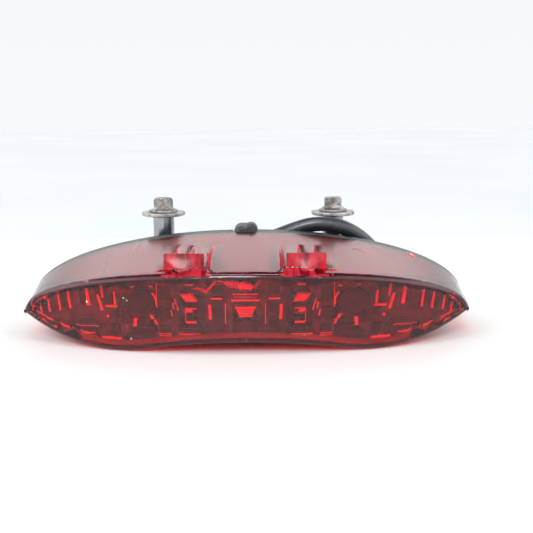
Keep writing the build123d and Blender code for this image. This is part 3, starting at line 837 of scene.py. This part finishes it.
# %% Flutes at the tip
FLUTES = ((60.5, 27.5, 20.5, 1.1), (66.5, 25.5, 17.0, 1.6), (74.5, 23.5, 15.5, 1.1), (79, 21.8, 14.6, 1.1),
          (84, 19.6, 13.4, 1.0), (88, 17.6, 12.0, 1.0), (91, 16.0, 11.0, 0.9))
FLAKES = ((55.5, 61), (64, 70.5), (74, 79.5), (83, 88.5))


def tip_ground(made):
    """The raised ground that the flutes stand on: a slab cut into slices that follow the outline."""
    slab = bmesh.new()
    bmesh.ops.create_cube(slab, size=1.0)
    along = [e for e in slab.edges if abs(e.verts[0].co.x - e.verts[1].co.x) > 0.5]
    bmesh.ops.subdivide_edges(slab, edges=along, cuts=14)
    for v in slab.verts:
        v.co = Vector(
            (57 + (v.co.x + 0.5) * 37.5, -0.05 if v.co.y < 0 else SHEET_BACK, 40.0 if v.co.z > 0 else -5.0)
        )
    cover(slab, slab.verts[:], PLAIN)
    mesh = bpy.data.meshes.new("slab")
    slab.to_mesh(mesh)
    slab.free()
    made.from_mesh(mesh)
    bpy.data.meshes.remove(mesh)


def tip_flutes(made):
    """Slanted flutes under the rim, each a bright edge beside a dark panel, down to the very tip."""
    tip_ground(made)
    for x, top, bottom, wide in FLUTES:
        brick(made, x - wide / 2, x + wide / 2, bottom, top, 1.2, PAINTED_HIGHLIGHT, 1.0, 0.1)
        brick(made, x + wide / 2 + 0.3, x + wide / 2 + 2.9, bottom + 0.4, top + 1, 0.9, PAINTED_SHADE, 1.0, 0.1)
    for start, end in FLAKES:
        fresh = brick(made, start, end, 0.0, 1.1, 1.0, PAINTED_HIGHLIGHT, 0.6, 0.1)
        for v in fresh:
            edge = bottom_wall_z(v.co.x * MM, -35 * MM) / MM
            v.co.z += edge + 2.4
    brick(made, 88.5, 94, 10.0, 13.0, 1.3, PAINTED_HIGHLIGHT, 0.5, 0.2)


# %% [markdown]
# The reflector's moulding turns back along the inside of the lens, so that nobody looks past its
# edge into the lamp. That skirt has the lens's own inner shape: the lens's inner walls are picked
# out by the way they face, moved in a little and cut short of the housing. A Solidify modifier
# gives the skirt its thickness. It lets part of the light pass as through a film, so that the floor
# near the lens is tinted.

# %% Reflector skirt
SKIRT_GAP = 0.25 * MM
SKIRT_THICK = 0.35 * MM
SKIRT_BACK_Y = 7.2 * MM


def matt_brown():
    """The moulding's uncoated plastic, painted shade: darker towards the top, lighter below."""
    material, tree, shader, output = start_material("skirt_brown")
    place = object_place(tree)
    cloud = noise(tree, place, 90.0, 3.0)
    shaded = ramp(tree, cloud, [(0.3, (0.02, 0.012, 0.02)), (0.7, (0.04, 0.025, 0.035))])
    lit = ramp(tree, cloud, [(0.3, (0.13, 0.07, 0.09)), (0.7, (0.22, 0.12, 0.14))])
    height = add(tree, "ShaderNodeSeparateXYZ", {"Vector": place}).outputs["Z"]
    above = spread_value(tree, height, 8 * MM, 13 * MM, 0.0, 1.0)
    both = add(tree, "ShaderNodeMix", {0: above, 6: lit, 7: shaded}, data_type="RGBA")
    tree.links.new(both.outputs[2], shader.inputs["Base Color"])
    shader.inputs["Roughness"].default_value = 0.85
    shader.inputs["Specular IOR Level"].default_value = 0.15
    bump(tree, shader, cloud, 0.1, 0.0004)
    let_light_in(tree, shader, output, (0.55, 0.36, 0.40))
    return material


def reflector_skirt():
    """The lens's inner walls, moved in and cut off short of the housing."""
    made = weld_copy("lens")
    made.normal_update()
    outer = []
    for face in made.faces:
        inward = (face.calc_center_median().z - TIP_Z) * face.normal.z < 0
        if not (inward and abs(face.normal.y) < 0.5):
            outer.append(face)
    bmesh.ops.delete(made, geom=outer, context="FACES")
    everything = made.verts[:] + made.edges[:] + made.faces[:]
    bmesh.ops.bisect_plane(
        made, geom=everything, plane_co=(0, SKIRT_BACK_Y, 0), plane_no=(0, 1, 0), clear_outer=True
    )
    made.normal_update()
    for v in made.verts:
        v.co += v.normal * SKIRT_GAP
    return made


skirt = finish_piece("reflector_skirt", reflector_skirt(), "lamp", matt_brown(), 30.0)
wall_depth = skirt.modifiers.new("thickness", "SOLIDIFY")
wall_depth.thickness = SKIRT_THICK
wall_depth.offset = 1.0
wall_depth.use_even_offset = False
print("skirt:", len(skirt.data.polygons), "faces")


# %% Reflector piece
def reflector_facets():
    """Every cell on the right, its mirror image on the left and the centre, bent onto the curve."""
    made = bmesh.new()
    for cell in (arch_cell, bowl_cell, brick_stack, outer_bowls, side_steps, oval_cell, tip_flutes):
        cell(made)
    twin = bmesh.ops.duplicate(made, geom=made.verts[:] + made.edges[:] + made.faces[:])["geom"]
    twin_verts = [e for e in twin if isinstance(e, bmesh.types.BMVert)]
    bmesh.ops.scale(made, verts=twin_verts, vec=(-1.0, 1.0, 1.0))
    bmesh.ops.reverse_faces(made, faces=[e for e in twin if isinstance(e, bmesh.types.BMFace)])
    centre_cell(made)
    bend_on_reflector(made)
    return made


facets = finish_piece(
    "reflector_facets", reflector_facets(), "lamp", reflector_coats, 20.0
)
smooth_node("reflector", "lamp", coat_plain, 25.0)
print("reflector facets:", len(facets.data.polygons), "faces")

# %% [markdown]
# ## Lens edge and dust specks
#
# Along the right half of the seam the lens's back edge has short lugs that glow bright red, with
# gaps between them. They are low blocks that follow the top wall. The few pale specks on the lens
# are tiny flattened balls, scattered by a seeded generator so that every run gives the same ones.

# %% Lens edge lugs
LUG_SPANS = (
    (6, 12.6),
    (14.4, 18.8),
    (20.6, 25.2),
    (27.6, 31.2),
    (34, 36.6),
    (44, 47.6),
    (50, 55.6),
    (66.5, 71.8),
    (74.4, 76.6),
)


def lug_strip():
    """One lug after another: each a cube cut into slices, laid along the top wall near the seam."""
    made = bmesh.new()
    for n, (start, end) in enumerate(LUG_SPANS):
        before = set(made.verts)
        fresh = bmesh.ops.create_cube(made, size=1.0)["verts"]
        along = [
            e for e in {e for v in fresh for e in v.link_edges}
            if abs(e.verts[0].co.x - e.verts[1].co.x) > 0.5
        ]
        bmesh.ops.subdivide_edges(made, edges=along, cuts=4)
        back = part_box("lens")[1].y - 0.2 * MM
        deep = (2.2 + 0.9 * (n % 3)) * MM
        for v in [v for v in made.verts if v not in before]:
            x = (start + (v.co.x + 0.5) * (end - start)) * MM
            y = back - (0.5 - v.co.y) * deep
            v.co = Vector((x, y, top_wall_z(x, y) + (0.22 * MM if v.co.z > 0 else -0.5 * MM)))
    bmesh.ops.recalc_face_normals(made, faces=made.faces[:])
    return made


def lug_red_painted_glow():
    """The lugs' bright red, painted light for their glow."""
    material, tree, shader, _ = start_material("lug_red_painted_glow")
    place = object_place(tree)
    cloud = noise(tree, place, 400.0)
    colour = ramp(tree, cloud, [(0.35, (0.62, 0.02, 0.03)), (0.65, (0.98, 0.09, 0.10))])
    tree.links.new(colour, shader.inputs["Base Color"])
    shader.inputs["Roughness"].default_value = 0.25
    bump(tree, shader, cloud, 0.2, 0.0003)
    return material


finish_piece("edge_lugs", lug_strip(), "lamp", lug_red_painted_glow(), 30.0)
print("lugs:", len(LUG_SPANS))

# %% Dust specks
import random

FACE_AXIS_Y = 155.7 * MM
FACE_RADIUS_AT_REST = 201.35 * MM
FACE_SLOPE = (201.8 - 196.6) / 60.0
FACE_SPECKS, TOP_SPECKS = 34, 30


def face_y(x, z):
    """Depth of the lit face, a cone about an upright axis behind the lamp."""
    radius = FACE_RADIUS_AT_REST - FACE_SLOPE * z
    return FACE_AXIS_Y - math.sqrt(radius**2 - x**2)


def specks():
    """Flattened balls on the lit face and on the top wall."""
    chance = random.Random(11)
    made = bmesh.new()
    spots = [(-0.066, 0.020, 0.42), (-0.050, 0.0225, 0.34), (-0.0485, 0.0215, 0.36), (-0.047, 0.0058, 0.3)]
    for _ in range(FACE_SPECKS):
        spots.append(
            (chance.uniform(-0.085, 0.085), chance.uniform(0.006, 0.024), chance.uniform(0.06, 0.14))
        )
    for x, z, size in spots:
        if not bottom_wall_z(x, 0) + 0.004 < z < top_wall_z(x, -0.04) - 0.005:
            continue
        place = Matrix.Translation((x, face_y(x, z), z))
        shape = Matrix.Diagonal((size * MM, 0.10 * MM, size * MM * chance.uniform(0.6, 1.3), 1.0))
        bmesh.ops.create_icosphere(made, subdivisions=1, radius=1.0, matrix=place @ shape)
    for _ in range(TOP_SPECKS):
        x = chance.uniform(-0.08, 0.08)
        y = chance.uniform(-0.03, 0.01)
        shape = Matrix.Diagonal(
            (chance.uniform(0.1, 0.28) * MM, chance.uniform(0.1, 0.28) * MM, 0.06 * MM, 1.0)
        )
        place = Matrix.Translation((x, y, top_wall_z(x, y)))
        bmesh.ops.create_icosphere(made, subdivisions=1, radius=1.0, matrix=place @ shape)
    return made


def speck_white():
    """Pale dust."""
    material, tree, shader, _ = start_material("speck_white")
    cloud = noise(tree, object_place(tree), 900.0)
    tree.links.new(
        ramp(tree, cloud, [(0.3, (0.55, 0.52, 0.50)), (0.7, (0.95, 0.94, 0.92))]), shader.inputs["Base Color"]
    )
    shader.inputs["Roughness"].default_value = 0.8
    return material


dust_specks = finish_piece("dust_specks", specks(), "lamp", speck_white(), 60.0)
print("specks:", len(dust_specks.data.polygons) // 20)

# %% [markdown]
# ## Steel
#
# The bolts, washers and collars are zinc-plated steel that has seen weather. The plating has gone
# dull and grey, with darker pits and a brown tinge. One recipe makes all three: a broad cloud mixes
# two greys, a finer noise darkens the pits, and the same noise lowers the surface there.

# %% Weathered steel
def make_pits():
    """Corrosion pits: small dark spots in patches."""
    group, entry, leave = start_group("pits", [("Vector", None), ("Scale", 900.0), ("Amount", 0.5)], ["Mask"])
    fine = noise(group, entry.outputs["Vector"], entry.outputs["Scale"], 3.0)
    broad = noise(group, entry.outputs["Vector"], 260.0)
    both = maths(group, "ADD", fine, broad)
    seen = spread_value(group, both, 0.98, 1.2, 0.0, 1.0)
    mask = maths(group, "MULTIPLY", seen, entry.outputs["Amount"])
    group.links.new(mask, leave.inputs["Mask"])
    return group


PITS = make_pits()


def weathered_steel(name, clean, dull, pitted, amount, roughness, upright=1.0):
    material, tree, shader, _ = start_material(name)
    place = object_place(tree)
    drawn = add(tree, "ShaderNodeMapping", {"Vector": place})
    drawn.inputs["Scale"].default_value = (1.0, 1.0, upright)
    cloud = noise(tree, drawn.outputs["Vector"], 240.0, 4.0)
    plating = ramp(tree, cloud, [(0.36, dull), (0.62, clean)])
    pits = use_group(tree, PITS, {"Vector": place, "Scale": 900.0, "Amount": amount})
    colour = add(tree, "ShaderNodeMix", {0: pits, 6: plating, 7: (*pitted, 1.0)}, data_type="RGBA")
    tree.links.new(colour.outputs[2], shader.inputs["Base Color"])
    shader.inputs["Metallic"].default_value = 1.0
    tree.links.new(
        spread_value(tree, cloud, 0.3, 0.7, roughness + 0.14, roughness - 0.06), shader.inputs["Roughness"]
    )
    low = maths(tree, "SUBTRACT", 1.0, pits)
    bump(tree, shader, low, 0.35, 0.0003)
    return material


bolt_finish = weathered_steel(
    "bolt_steel", (0.44, 0.435, 0.425), (0.24, 0.23, 0.22), (0.11, 0.09, 0.075), 0.75, 0.42
)
washer_finish = weathered_steel(
    "washer_steel", (0.52, 0.515, 0.50), (0.31, 0.30, 0.285), (0.155, 0.125, 0.105), 0.6, 0.40
)
collar_finish = weathered_steel(
    "collar_steel", (0.36, 0.375, 0.405), (0.22, 0.23, 0.25), (0.13, 0.125, 0.125), 0.15, 0.20, 0.12
)

# %% Fixing sets
for side in ("left", "right"):
    smooth_node(f"collar_{side}", "lamp", collar_finish, 30.0)
    smooth_node(f"washer_{side}", f"washer_{side}_body", washer_finish, 30.0)
    smooth_node(f"flange_bolt_{side}", f"bolt_{side}_body", bolt_finish, 28.0)

# %% [markdown]
# A bolt's thread is a ridge wound round its end. Its section is one small triangle, and a spin with
# a step along the axis winds it up. It is a separate piece, so the shank stays a clean cylinder.

# %% Bolt threads
THREAD_PITCH = 1.0 * MM
THREAD_LENGTH = 7.4 * MM
THREAD_CORE = 2.72 * MM
THREAD_CREST = 3.02 * MM
THREAD_STEPS = 28


def thread_ridge(side):
    """The ridge wound round one bolt's lower end."""
    low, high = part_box(f"flange_bolt_{side}")
    centre = (low + high) / 2
    made = bmesh.new()
    foot = low.z + 1.0 * MM
    corners = ((THREAD_CORE, -0.42 * THREAD_PITCH), (THREAD_CREST, 0.0), (THREAD_CORE, 0.42 * THREAD_PITCH))
    section = [made.verts.new((centre.x + out, centre.y, foot + up)) for out, up in corners]
    made.faces.new(section)
    turns = int(THREAD_LENGTH / THREAD_PITCH)
    bmesh.ops.spin(
        made,
        geom=made.verts[:] + made.edges[:] + made.faces[:],
        cent=(centre.x, centre.y, 0.0),
        axis=(0, 0, 1),
        dvec=(0, 0, THREAD_PITCH / THREAD_STEPS),
        angle=math.radians(360 * turns),
        steps=THREAD_STEPS * turns,
    )
    bmesh.ops.recalc_face_normals(made, faces=made.faces[:])
    return made


for side in ("left", "right"):
    ridge = finish_piece(
        f"thread_{side}", thread_ridge(side), f"bolt_{side}_body", bolt_finish, 40.0
    )
print("threads of", len(ridge.data.polygons), "faces")

# %% [markdown]
# ## Rubber and black plastic
#
# The mounts and the cable boot are rubber: dark, with a dull bloom and a soft unevenness. The
# housing is a harder, smoother plastic that shines at flat angles. The sleeve is vinyl, the
# glossiest of the three. All three share the grain and dust groups, with different amounts.

# %% Black finishes
def black_finish(name, base, dusty, roughness, grain_scale, grain_strength, dust_amount, coat=0.0):
    material, tree, shader, _ = start_material(name)
    place = object_place(tree)
    dust = use_group(tree, DUST, {"Vector": place, "Scale": 500.0, "Amount": dust_amount})
    colour = add(tree, "ShaderNodeMix", {0: dust, 6: (*base, 1.0), 7: (*dusty, 1.0)}, data_type="RGBA")
    tree.links.new(colour.outputs[2], shader.inputs["Base Color"])
    tree.links.new(
        spread_value(tree, dust, 0.0, 1.0, roughness, roughness + 0.25), shader.inputs["Roughness"]
    )
    shader.inputs["Coat Weight"].default_value = coat
    shader.inputs["Coat Roughness"].default_value = 0.2
    grain = use_group(tree, GRAIN, {"Vector": place, "Scale": grain_scale, "Broad": 150.0})
    bump(tree, shader, grain, grain_strength, 0.0006)
    return material


# The housing's dust is heavy and grey-green: real dust, and also painted sheen standing in for the flange's
# grey-green reflection at flat angles.
housing_finish = black_finish(
    "housing_plastic", (0.026, 0.029, 0.028), (0.16, 0.17, 0.16), 0.40, 1400.0, 0.18, 0.7
)
mount_finish = black_finish(
    "mount_rubber", (0.016, 0.016, 0.017), (0.09, 0.088, 0.085), 0.62, 900.0, 0.3, 0.5
)
boot_finish = black_finish("boot_rubber", (0.018, 0.020, 0.024), (0.13, 0.14, 0.16), 0.5, 700.0, 0.5, 0.8)
sleeve_finish = black_finish(
    "sleeve_vinyl", (0.012, 0.014, 0.020), (0.055, 0.062, 0.075), 0.34, 500.0, 0.22, 0.4, 0.35
)
shrink_finish = black_finish(
    "shrink_tube", (0.014, 0.014, 0.016), (0.06, 0.06, 0.065), 0.42, 800.0, 0.25, 0.3
)
cap_finish = black_finish("vent_plastic", (0.024, 0.024, 0.025), (0.10, 0.10, 0.10), 0.45, 1200.0, 0.2, 0.4)
plug_finish = black_finish("plug_nylon", (0.030, 0.030, 0.032), (0.11, 0.11, 0.11), 0.4, 1100.0, 0.2, 0.35)
sleeve.data.materials.append(sleeve_finish)
smooth_node("housing", "lamp", housing_finish, 30.0)
smooth_node("cable_boot", "lamp", boot_finish, 40.0)
for side in ("left", "right"):
    smooth_node(f"grommet_{side}", "lamp", mount_finish, 35.0)
print("black finishes in place")

# %% [markdown]
# ## Small parts
#
# The pieces inside and behind the lamp keep the engineering model's shape, and each gets a finish of
# its own: solder-green board, tinted light sources, ceramic resistors, coloured wires, the plug's
# nylon and brass, and the vent's white membrane.

# %% Small finishes
def spotted(name, low, high, scale, roughness, metallic=0.0, strength=0.15):
    """Two shades mixed by a noise, with the same noise as a slight bump."""
    material, tree, shader, _ = start_material(name)
    cloud = noise(tree, object_place(tree), scale, 3.0)
    tree.links.new(ramp(tree, cloud, [(0.35, low), (0.65, high)]), shader.inputs["Base Color"])
    shader.inputs["Roughness"].default_value = roughness
    shader.inputs["Metallic"].default_value = metallic
    bump(tree, shader, cloud, strength, 0.0003)
    return material


def board_green():
    """Solder mask over copper tracks: the tracks show as slightly lighter bands."""
    material, tree, shader, _ = start_material("board_green")
    place = object_place(tree)
    flat = add(tree, "ShaderNodeMapping", {"Vector": place})
    flat.inputs["Rotation"].default_value = (math.radians(90), 0.0, 0.0)
    inputs = {"Vector": flat.outputs["Vector"], "Scale": 60.0, "Mortar Size": 0.03}
    tracks = add(tree, "ShaderNodeTexBrick", inputs)
    colour = ramp(tree, tracks.outputs["Fac"], [(0.0, (0.010, 0.085, 0.030)), (1.0, (0.030, 0.17, 0.06))])
    tree.links.new(colour, shader.inputs["Base Color"])
    shader.inputs["Roughness"].default_value = 0.35
    bump(tree, shader, tracks.outputs["Fac"], 0.2, 0.0002)
    return material


def wire_skins():
    """Three wires side by side: red, black and brown insulation, picked by where they run."""
    material, tree, shader, _ = start_material("wire_skins")
    place = object_place(tree)
    across = add(tree, "ShaderNodeSeparateXYZ", {"Vector": place}).outputs["X"]
    share = spread_value(tree, across, -0.0038, 0.0038, 0.0, 1.0)
    skins = ramp(
        tree, share, [(0.0, (0.35, 0.02, 0.02)), (0.34, (0.02, 0.02, 0.02)), (0.67, (0.16, 0.06, 0.02))]
    )
    tree.links.new(skins, shader.inputs["Base Color"])
    shader.inputs["Roughness"].default_value = 0.4
    grain = use_group(tree, GRAIN, {"Vector": place, "Scale": 1600.0, "Broad": 300.0})
    bump(tree, shader, grain, 0.15, 0.0002)
    return material


small_finishes = {
    "lens_seal": black_finish("sealant", (0.05, 0.05, 0.05), (0.14, 0.14, 0.13), 0.6, 600.0, 0.4, 0.4),
    "led_board": board_green(),
    "leds": spotted("light_source", (0.42, 0.05, 0.05), (0.62, 0.12, 0.10), 900.0, 0.2),
    "resistors": spotted("resistor_ceramic", (0.015, 0.015, 0.016), (0.05, 0.05, 0.05), 2500.0, 0.5),
    "board_screws": spotted("screw_steel", (0.45, 0.45, 0.44), (0.60, 0.60, 0.58), 1200.0, 0.3, 1.0),
    "wire_header": spotted("header_nylon", (0.62, 0.60, 0.54), (0.72, 0.70, 0.64), 700.0, 0.45),
    "inner_wires": wire_skins(),
    "connector_boot": shrink_finish,
    "connector_housing": plug_finish,
    "connector_terminals": spotted(
        "terminal_brass", (0.62, 0.42, 0.16), (0.78, 0.56, 0.24), 1100.0, 0.3, 1.0
    ),
    "connector_lock": spotted("lock_nylon", (0.70, 0.22, 0.03), (0.80, 0.30, 0.05), 900.0, 0.4),
    "vent_cap": cap_finish,
    "vent_membrane": spotted("membrane_white", (0.72, 0.72, 0.70), (0.85, 0.85, 0.83), 2200.0, 0.8, 0.0, 0.4),
}
for name, finish in small_finishes.items():
    nodes[name].data.materials.clear()
    nodes[name].data.materials.append(finish)
print(len(small_finishes), "small parts finished")
